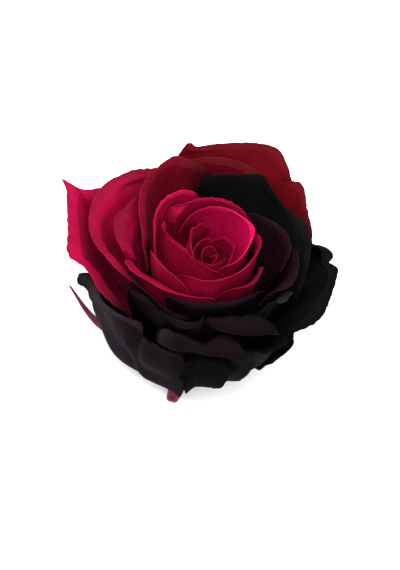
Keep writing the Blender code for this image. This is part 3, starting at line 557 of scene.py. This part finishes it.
def petal_grid(order, name, claw_azimuth, lip, rim):
    """The middle surface of a petal: points by row, from the claw up, and by column, along the rim."""
    share = order / (len(PETALS) - 1)
    belly = share + FULLER.get(name, 0)
    leaving = math.radians(INNER_LEAVING_ANGLE + (OUTER_LEAVING_ANGLE - INNER_LEAVING_ANGLE) * belly)
    reach = INNER_LEAVING_REACH + (OUTER_LEAVING_REACH - INNER_LEAVING_REACH) * belly**LEAVING_POWER
    rising = INNER_RISING_REACH + (OUTER_RISING_REACH - INNER_RISING_REACH) * belly**RISING_POWER
    claw_radius = INNER_CLAW_RADIUS + (OUTER_CLAW_RADIUS - INNER_CLAW_RADIUS) * share
    claw_width = INNER_CLAW_WIDTH + (OUTER_CLAW_WIDTH - INNER_CLAW_WIDTH) * share
    claw_width *= NARROW_CLAW.get(name, 1)
    foot = np.array([claw_radius, dome_height(claw_radius) + CLAW_LIFT])
    edge, along = rim_edge(rim, RIM_STEP)
    base = smoothed(edge[:, 1:], along)
    middle = math.radians(claw_azimuth)
    middle += 2 * math.pi * round((edge[:, 0].mean() - middle) / (2 * math.pi))
    half_angle = claw_width / 2 / claw_radius
    roll, blade_angle, edge_angle = lip
    grid = []
    across_rim = 2 * along / along[-1] - 1
    for across, azimuth, rim_point, base_point in zip(across_rim, edge[:, 0], edge[:, 1:], base):
        wider = lip_widening(name, across)
        local_lip = (roll * wider, blade_angle, edge_angle)
        points = rib(foot, base_point, leaving, reach, rising, local_lip, FLAPS.get(name, 0) * wider)
        risen = np.linspace(0, 1, len(points))
        points = points + (rim_point - base_point) * risen[:, None] ** DETAIL_POWER
        fan = 1 - (1 - risen) ** (FAN_POWER * SPREADING.get(name, 1))
        start = middle + across * half_angle
        grid.append(on_axis(start + (azimuth - start) * fan, points[:, 0], points[:, 1]))
    return np.stack(grid, axis=1)


def cell_samples(grid, count):
    """Points over every cell of the grid, as (row, column, sample, xyz)."""
    share = (np.arange(count + 1) / count)[:, None]
    corners = (grid[:-1, :-1], grid[:-1, 1:], grid[1:, :-1], grid[1:, 1:])
    weights = [
        (1 - share) * (1 - share.T),
        (1 - share) * share.T,
        share * (1 - share.T),
        share * share.T,
    ]
    return sum(c[:, :, None, :] * w.reshape(1, 1, -1, 1) for c, w in zip(corners, weights))


def seen_from_axis(points, turning_height):
    """(azimuth bin, level bin, distance, outward direction) of points."""
    radius = np.hypot(points[..., 0], points[..., 1])
    below = np.minimum(points[..., 2] - turning_height, 0)
    distance = np.hypot(radius, below)
    level = np.where(
        below < 0, NEST_ARC_RADIUS * np.arctan2(below, radius), points[..., 2] - turning_height
    )
    azimuth = np.arctan2(points[..., 1], points[..., 0])
    azimuth_bin = np.floor(azimuth / (2 * math.pi) * NEST_AZIMUTHS).astype(int) % NEST_AZIMUTHS
    level_bin = np.clip((level / NEST_STEP).astype(int) + NEST_LEVELS // 2, 0, NEST_LEVELS - 1)
    outward = np.stack([points[..., 0], points[..., 1], below], axis=-1) / distance[..., None]
    return azimuth_bin, level_bin, distance, outward


def outline_of(inner_points, turning_height):
    """How far the inner petals reach, by azimuth and level."""
    reach = np.zeros((NEST_AZIMUTHS, NEST_LEVELS))
    azimuth_bin, level_bin, distance, _ = seen_from_axis(inner_points, turning_height)
    np.maximum.at(reach, (azimuth_bin, level_bin), distance)
    beside = np.maximum(np.roll(reach, 1, axis=0), np.roll(reach, -1, axis=0))
    reach = np.where(reach > 0, reach, beside)
    beyond = np.maximum(np.roll(reach, 1, axis=1), np.roll(reach, -1, axis=1))
    return np.where(reach > 0, reach, beyond)


def nested(grid, inner_points, turning_height):
    """The grid, eased outwards where it would meet the petals inside it."""
    if len(inner_points) == 0:
        return grid
    reach = outline_of(inner_points, turning_height)
    rows, columns = grid.shape[:2]
    for _ in range(NEST_ROUNDS):
        azimuth_bin, level_bin, distance, _ = seen_from_axis(cell_samples(grid, CELL_SAMPLES), turning_height)
        inside = reach[azimuth_bin, level_bin]
        short = np.where(inside > 0, inside + NEST_SPACING - distance, 0).max(axis=2)
        push = np.zeros((rows, columns))
        for i, j in ((0, 0), (0, 1), (1, 0), (1, 1)):
            part = push[i : rows - 1 + i, j : columns - 1 + j]
            np.maximum(part, short * NEST_EASE, out=part)
        push[0] = np.where(grid[0, :, 2] > turning_height, push[0], 0)
        if push.max() < NEST_SETTLED:
            break
        grid = grid + push[..., None] * seen_from_axis(grid, turning_height)[3]
    return grid


def nested_grids():
    """The middle surface of every petal as the part has it, by name."""
    inner_points = np.zeros((0, 3))
    grids = {}
    for order, (name, _, claw_azimuth, lip, rim) in enumerate(PETALS):
        share = order / (len(PETALS) - 1)
        turning_height = INNER_TURNING_HEIGHT
        turning_height += (OUTER_TURNING_HEIGHT - INNER_TURNING_HEIGHT) * share**TURNING_POWER
        grid = petal_grid(order, name, claw_azimuth, lip, rim)
        grids[name] = nested(grid, inner_points, turning_height)
        inner_points = np.vstack([inner_points, cell_samples(grids[name], CELL_SAMPLES).reshape(-1, 3)])
    return grids


def eased(grid):
    """The grid with its inner points drawn towards their neighbours."""
    soft = grid.copy()
    around = (grid[:-2, 1:-1] + grid[2:, 1:-1] + grid[1:-1, :-2] + grid[1:-1, 2:]) / 4
    soft[1:-1, 1:-1] += EASING * (around - grid[1:-1, 1:-1])
    return soft


def refined(grid, row_steps, column_steps):
    """A smooth surface through the grid, with this many steps between its rows and columns."""
    rows = catmull_rom(np.eye(grid.shape[0]), row_steps)
    columns = catmull_rom(np.eye(grid.shape[1]), column_steps)
    return np.einsum("ri,cj,ijk->rck", rows, columns, grid)


def grid_normals(grid):
    along = np.gradient(grid, axis=1)
    up = np.gradient(grid, axis=0)
    normals = np.cross(along, up)
    return normals / np.linalg.norm(normals, axis=2, keepdims=True)


def lengths_along(grid, axis):
    """The length along the grid's lines up to each point, on this axis."""
    steps = np.linalg.norm(np.diff(grid, axis=axis), axis=2)
    start = np.zeros_like(np.take(steps, [0], axis=axis))
    return np.cumsum(np.concatenate([start, steps], axis=axis), axis=axis)


def ripple(random, place, length):
    """A soft uneven wave over the place, mostly between -1 and 1."""
    total = np.zeros_like(place)
    for _ in range(RIPPLE_WAVES):
        wave_length = length * random.uniform(*RIPPLE_SPREAD)
        total += np.sin(2 * math.pi * (place / wave_length + random.random()))
    return total / RIPPLE_SCALE


def worn(grid, random):
    """The fine grid with soft waves towards its rim and a slightly uneven edge."""
    up = lengths_along(grid, 0)
    from_rim = up[-1] - up
    place = lengths_along(grid, 1)[-1]
    waves = WAVE_HEIGHT * ripple(random, place, WAVE_LENGTH) * np.exp(-from_rim / WAVE_REACH)
    nicks = NICK_DEPTH * ripple(random, place, NICK_LENGTH) * np.exp(-from_rim / NICK_REACH)
    upward = np.gradient(grid, axis=0)
    upward /= np.linalg.norm(upward, axis=2, keepdims=True)
    return grid + waves[..., None] * grid_normals(grid) + nicks[..., None] * upward


def rim_distance(grid):
    """The distance of each point from the nearest free edge of the blade."""
    up = lengths_along(grid, 0)
    along = lengths_along(grid, 1)
    return np.minimum(up[-1] - up, np.minimum(along, along[:, -1:] - along))


def blended(stops, share):
    """The colour at each share of the rim."""
    places = [place for place, _ in stops]
    colours = np.array([DYES_AND_PAINTED_LIGHT[dye] for _, dye in stops])
    return np.stack([np.interp(share, places, channel) for channel in colours.T], axis=-1)


def add_attribute(mesh, name, kind, values):
    attribute = mesh.attributes.new(name, kind, "POINT")
    field = "color" if kind == "FLOAT_COLOR" else "value"
    attribute.data.foreach_set(field, np.ascontiguousarray(values, dtype=np.float32).ravel())


def add_mesh(name, points, faces, material):
    """A new object of these points, in millimetres, kept inside the part's box."""
    inside = np.clip(points * MM, CAD_LOW, CAD_HIGH)
    mesh = bpy.data.meshes.new(name)
    mesh.from_pydata(inside.tolist(), [], faces)
    mesh.materials.append(material)
    mesh.shade_smooth()
    piece = bpy.data.objects.new(name, mesh)
    bpy.context.scene.collection.objects.link(piece)
    return piece


def sheet_faces(rows, columns):
    """The faces of a closed blade: its two sheets and the edge between them."""
    index = np.arange(rows * columns).reshape(rows, columns)
    under = rows * columns
    a, b = index[:-1, :-1].ravel(), index[:-1, 1:].ravel()
    c, d = index[1:, 1:].ravel(), index[1:, :-1].ravel()
    outer = np.stack([a, b, c, d], axis=1)
    inner = np.stack([a, d, c, b], axis=1) + under
    ring = np.array([*index[0, :], *index[1:, -1], *index[-1, -2::-1], *index[-2:0:-1, 0]])
    after = np.roll(ring, -1)
    edge = np.stack([ring, ring + under, after + under, after], axis=1)
    return np.concatenate([outer, inner, edge]).tolist()


def add_blade(name, grid, thickness, material, dyes=()):
    """A blade round the grid's middle surface, with its place, its distance from the rim and any colours."""
    offset = grid_normals(grid) * thickness[..., None] / 2
    points = np.concatenate([(grid + offset).reshape(-1, 3), (grid - offset).reshape(-1, 3)])
    rows, columns = grid.shape[:2]
    piece = add_mesh(name, points, sheet_faces(rows, columns), material)
    mesh = piece.data
    if dyes:
        colours = np.concatenate([dye.reshape(-1, 3) for dye in dyes])
        add_attribute(mesh, "dye", "FLOAT_COLOR", np.column_stack([colours, np.ones(len(colours))]))
    add_attribute(mesh, "rim", "FLOAT", np.tile(rim_distance(grid).ravel(), 2))
    up = lengths_along(grid, 0)
    share = lengths_along(grid, 1)[-1]
    place = np.stack([np.broadcast_to(share, up.shape), up], axis=-1).reshape(-1, 2)
    corners = np.zeros(len(mesh.loops), np.int32)
    mesh.loops.foreach_get("vertex_index", corners)
    layer = mesh.uv_layers.new(name="petal")
    layer.data.foreach_set("uv", np.tile(place, (2, 1))[corners].astype(np.float32).ravel())
    return piece


def kept(piece, node):
    """The piece rides on the body and stands for the part's node."""
    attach(piece, BODY)
    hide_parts(node)
    return piece


def petals(materials):
    """Every petal, refined from the part's grid."""
    for order, (name, grid) in enumerate(nested_grids().items()):
        slot = PETALS[order][1]
        random = np.random.default_rng(order)
        fine = worn(refined(eased(grid), ROW_STEPS, COLUMN_STEPS), random)
        thinning = np.exp(-rim_distance(fine) / THINNING_LENGTH)
        thickness = BLADE_THICKNESS + (RIM_THICKNESS - BLADE_THICKNESS) * thinning
        share = np.broadcast_to(np.linspace(0, 1, fine.shape[1]), fine.shape[:2])
        plain = [(0, PLAIN_DYE[slot]), (1, PLAIN_DYE[slot])]
        inner_stops, outer_stops = RIM_DYES_AND_PAINTED_LIGHT.get(name, (plain, plain))
        dyes = [blended(outer_stops, share), blended(inner_stops, share)]
        # Away from the rim: a darker colour, painted shade on pink_2 and painted light on pink_1 and pink_3
        if name in DEEPER_DYE_AND_PAINTED_LIGHT:
            dye, *bands = DEEPER_DYE_AND_PAINTED_LIGHT[name]
            for side, (near, far) in enumerate(bands):
                come_in = np.clip((rim_distance(fine) - near) / (far - near), 0, 1)[..., None]
                dyes[side] = dyes[side] + (np.array(DYES_AND_PAINTED_LIGHT[dye]) - dyes[side]) * come_in
        piece = add_blade(name, fine, thickness, materials[slot], dyes)
        kept(piece, f"petal_{order + 1:02d}_{name}")


def hip(material):
    """The stub, the hip and its dome, turned round the axis."""
    dome = [(radius, dome_height(radius)) for radius in np.linspace(DOME_RADIUS, 0, DOME_RINGS + 1)]
    points, rings = [], []
    for radius, height in [*HIP_OUTLINE, *dome]:
        if radius == 0:
            rings.append([len(points)] * HIP_SIDES)
            points.append((0, 0, height))
            continue
        rings.append(list(range(len(points), len(points) + HIP_SIDES)))
        for side in range(HIP_SIDES):
            angle = 2 * math.pi * side / HIP_SIDES
            points.append((radius * math.cos(angle), radius * math.sin(angle), height))
    faces = []
    for low, high in zip(rings, rings[1:]):
        for side in range(HIP_SIDES):
            after = (side + 1) % HIP_SIDES
            faces.append(list(dict.fromkeys([low[side], low[after], high[after], high[side]])))
    piece = add_mesh("hip", np.array(points), faces, material)
    kept(piece, "calyx")


def sepal(number, azimuth, taper, line, material):
    """One pointed sepal along its middle line, cupped upwards and no lower than the surface."""
    middle = evenly_spaced(catmull_rom(line, RIM_SAMPLES), SEPAL_ROWS + 1)
    middle[:, 1] = np.maximum(middle[:, 1], SEPAL_THICKNESS / 2)
    angle = math.radians(azimuth)
    outward = np.array([math.cos(angle), math.sin(angle), 0])
    aside = np.array([-math.sin(angle), math.cos(angle), 0])
    grid = []
    for share, (radius, height) in zip(np.linspace(0, 1, SEPAL_ROWS + 1), middle):
        swelling = SEPAL_WAIST + (1 - SEPAL_WAIST) * math.sin(math.pi * min(share * SEPAL_SWELLING, 1))
        half = SEPAL_WIDTH / 2 * swelling * (1 - share) ** taper + SEPAL_TIP_WIDTH / 2
        row = []
        for across in np.linspace(-1, 1, SEPAL_COLUMNS + 1):
            cup = SEPAL_CUP * half * across**2
            row.append(outward * radius + aside * half * across + np.array([0, 0, height + cup]))
        grid.append(row)
    grid = np.array(grid)
    thickness = SEPAL_THICKNESS - (SEPAL_THICKNESS - RIM_THICKNESS) * np.exp(
        -rim_distance(grid) / SEPAL_THINNING_LENGTH
    )
    piece = add_blade(f"sepal_{number}", grid, thickness, material)
    kept(piece, "calyx")


def node_tree(material):
    material.use_nodes = True
    tree = material.node_tree
    return tree, tree.nodes["Principled BSDF"]


def add_node(tree, kind, **inputs):
    """A node of this kind with these values on its sockets, by name."""
    node = tree.nodes.new(kind)
    for name, value in inputs.items():
        node.inputs[name].default_value = value
    return node


def noise(tree, vector, scale, detail, roughness):
    node = add_node(tree, "ShaderNodeTexNoise", Scale=scale, Detail=detail, Roughness=roughness)
    tree.links.new(vector, node.inputs["Vector"])
    return node.outputs["Fac"]


def ramp(tree, value, low, high, to_low=0.0, to_high=1.0):
    """The value with low mapped to to_low and high to to_high, held beyond them."""
    node = add_node(tree, "ShaderNodeMapRange")
    node.clamp = True
    for socket, number in zip(("From Min", "From Max", "To Min", "To Max"), (low, high, to_low, to_high)):
        node.inputs[socket].default_value = number
    tree.links.new(value, node.inputs["Value"])
    return node.outputs["Result"]


def mixed(tree, factor, first, second, blend="MIX"):
    """Two colours mixed; the factor and either colour may be a socket or a plain value."""
    node = tree.nodes.new("ShaderNodeMix")
    node.data_type = "RGBA"
    node.blend_type = blend
    for place, value in ((MIX_FACTOR, factor), (MIX_FIRST, first), (MIX_SECOND, second)):
        if isinstance(value, bpy.types.NodeSocket):
            tree.links.new(value, node.inputs[place])
        elif place == MIX_FACTOR:
            node.inputs[place].default_value = value
        else:
            node.inputs[place].default_value = (*value, 1)
    return node.outputs[MIX_RESULT]


def scaled(tree, vector, factors):
    node = tree.nodes.new("ShaderNodeVectorMath")
    node.operation = "MULTIPLY"
    tree.links.new(vector, node.inputs[0])
    node.inputs[1].default_value = factors
    return node.outputs["Vector"]


def attribute(tree, name, output):
    node = tree.nodes.new("ShaderNodeAttribute")
    node.attribute_name = name
    return node.outputs[output]


def petal_material(slot):
    """Matt dyed petal: mottled dye, fine veins from claw to rim, painted shade on its lip and a painted
    highlight along its rim.
    """
    finish = FINISHES[slot]
    material = bpy.data.materials.new(slot + "_look")
    tree, shader = node_tree(material)
    links = tree.links
    place = tree.nodes.new("ShaderNodeUVMap")
    place.uv_map = "petal"
    where = tree.nodes.new("ShaderNodeTexCoord").outputs["Object"]
    dye = attribute(tree, "dye", "Color")
    rim = attribute(tree, "rim", "Fac")
    veins = noise(tree, scaled(tree, place.outputs["UV"], VEIN_STRETCH), *VEIN_NOISE)
    mottle = noise(tree, where, *MOTTLE_NOISE)
    grain = noise(tree, where, *GRAIN_NOISE)
    dark = mixed(tree, ramp(tree, mottle, *MOTTLE_BAND, 0.0, MOTTLE_DEPTH), dye, MOTTLE_TINT, "MULTIPLY")
    veined = mixed(tree, ramp(tree, veins, *VEIN_BAND, 0.0, VEIN_DEPTH), dark, VEIN_TINT, "MULTIPLY")
    shaded = mixed(tree, ramp(tree, rim, *LIP_BAND, LIP_SHADE, 0.0), veined, LIP_TINT, "MULTIPLY")
    # Painted highlight along the rim
    edge = mixed(tree, ramp(tree, rim, *RIM_HIGHLIGHT_BAND, RIM_HIGHLIGHT, 0.0), shaded, RIM_HIGHLIGHT_TINT, "MULTIPLY")
    links.new(edge, shader.inputs["Base Color"])
    shader.inputs["Roughness"].default_value = PETAL_ROUGHNESS
    shader.inputs["Specular IOR Level"].default_value = finish["gloss"]
    if "sheen" in finish:
        shader.inputs["Sheen Weight"].default_value = finish["sheen"]
        shader.inputs["Sheen Roughness"].default_value = SHEEN_ROUGHNESS
        shader.inputs["Sheen Tint"].default_value = (*finish["tint"], 1)
    height = mixed(tree, GRAIN_SHARE, veins, grain)
    bump = add_node(tree, "ShaderNodeBump", Strength=PETAL_BUMP, Distance=PETAL_BUMP_DEPTH)
    links.new(height, bump.inputs["Height"])
    links.new(bump.outputs["Normal"], shader.inputs["Normal"])
    return material


def sepal_material():
    """Dry sepal: dull red with brownish blotches, pinker streaks and paler edges."""
    material = bpy.data.materials.new("calyx_look")
    tree, shader = node_tree(material)
    where = tree.nodes.new("ShaderNodeTexCoord").outputs["Object"]
    streaks = noise(tree, scaled(tree, where, STREAK_STRETCH), *STREAK_NOISE)
    blotches = noise(tree, where, *BLOTCH_NOISE)
    rim = attribute(tree, "rim", "Fac")
    base = mixed(tree, ramp(tree, blotches, *BLOTCH_BAND), SEPAL_RED, SEPAL_BROWN)
    streaked = mixed(tree, ramp(tree, streaks, *STREAK_BAND, 0.0, STREAK_DEPTH), base, SEPAL_STREAK)
    edge = mixed(tree, ramp(tree, rim, *SEPAL_EDGE_BAND, SEPAL_EDGE_WEAR, 0.0), streaked, SEPAL_EDGE)
    tree.links.new(edge, shader.inputs["Base Color"])
    shader.inputs["Roughness"].default_value = SEPAL_ROUGHNESS
    shader.inputs["Specular IOR Level"].default_value = SEPAL_GLOSS
    bump = add_node(tree, "ShaderNodeBump", Strength=SEPAL_BUMP, Distance=SEPAL_BUMP_DEPTH)
    tree.links.new(streaks, bump.inputs["Height"])
    tree.links.new(bump.outputs["Normal"], shader.inputs["Normal"])
    return material


def camera():
    """The photograph's viewpoint, placed so that the heart falls on its pixel."""
    elevation, roll = math.radians(ELEVATION), math.radians(ROLL)
    view = np.array([0, math.cos(elevation), -math.sin(elevation)])
    level = np.array([1.0, 0, 0])
    upright = np.cross(level, view)
    up = math.cos(roll) * upright - math.sin(roll) * level
    right = math.cos(roll) * level + math.sin(roll) * upright
    aside = (IMAGE_WIDTH / 2 - HEART_PIXEL[0]) / PIXELS_PER_MM
    above = (HEART_PIXEL[1] - IMAGE_HEIGHT / 2) / PIXELS_PER_MM
    eye = HEART + right * aside + up * above - view * DISTANCE
    data = bpy.data.cameras.new("camera")
    data.sensor_width = SENSOR
    data.lens = PIXELS_PER_MM * SENSOR / max(IMAGE_WIDTH, IMAGE_HEIGHT) * DISTANCE
    data.clip_start = NEAREST * MM
    piece = bpy.data.objects.new("camera", data)
    bpy.context.scene.collection.objects.link(piece)
    piece.matrix_world = matrix(right, up, -view, eye * MM)
    bpy.context.scene.camera = piece


def matrix(x_axis, y_axis, z_axis, place):
    rows = np.eye(4)
    rows[:3] = np.column_stack([x_axis, y_axis, z_axis, place])
    return Matrix(rows.tolist())


def area_light(name, azimuth, elevation, distance, size, power):
    """A square soft light that faces the flower."""
    data = bpy.data.lights.new(name, "AREA")
    data.size = size
    data.energy = power
    light = bpy.data.objects.new(name, data)
    bpy.context.scene.collection.objects.link(light)
    turn, rise = math.radians(azimuth), math.radians(elevation)
    back = np.array([math.cos(rise) * math.cos(turn), math.cos(rise) * math.sin(turn), math.sin(rise)])
    side = np.cross([0, 0, 1.0], back)
    side /= np.linalg.norm(side)
    light.matrix_world = matrix(side, np.cross(back, side), back, HEART * MM + back * distance)


def studio():
    """A plain near-white floor, faintly glowing so that its shadow stays pale, under soft light."""
    size = FLOOR_HALF
    mesh = bpy.data.meshes.new("floor")
    corners = [(-size, -size, 0), (size, -size, 0), (size, size, 0), (-size, size, 0)]
    mesh.from_pydata(corners, [], [(0, 1, 2, 3)])
    floor = bpy.data.objects.new("floor", mesh)
    floor.location.z = -FLOOR_DROP
    bpy.context.scene.collection.objects.link(floor)
    material = bpy.data.materials.new("floor_look")
    _, shader = node_tree(material)
    shader.inputs["Base Color"].default_value = (*[FLOOR_WHITE] * 3, 1)
    shader.inputs["Roughness"].default_value = FLOOR_ROUGHNESS
    shader.inputs["Emission Color"].default_value = (1, 1, 1, 1)
    shader.inputs["Emission Strength"].default_value = FLOOR_GLOW
    mesh.materials.append(material)
    floor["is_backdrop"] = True
    world = bpy.data.worlds.new("studio")
    world.use_nodes = True
    world.node_tree.nodes["Background"].inputs["Color"].default_value = (1, 1, 1, 1)
    world.node_tree.nodes["Background"].inputs["Strength"].default_value = WORLD_STRENGTH
    bpy.context.scene.world = world
    for light in LIGHTS:
        area_light(*light)
    bpy.context.scene.view_settings.view_transform = "Standard"


materials = {slot: petal_material(slot) for slot in FINISHES}
petals(materials)
dry = sepal_material()
hip(dry)
for number, (azimuth, taper, line) in enumerate(SEPALS, start=1):
    sepal(number, azimuth, taper, line, dry)
camera()
studio()
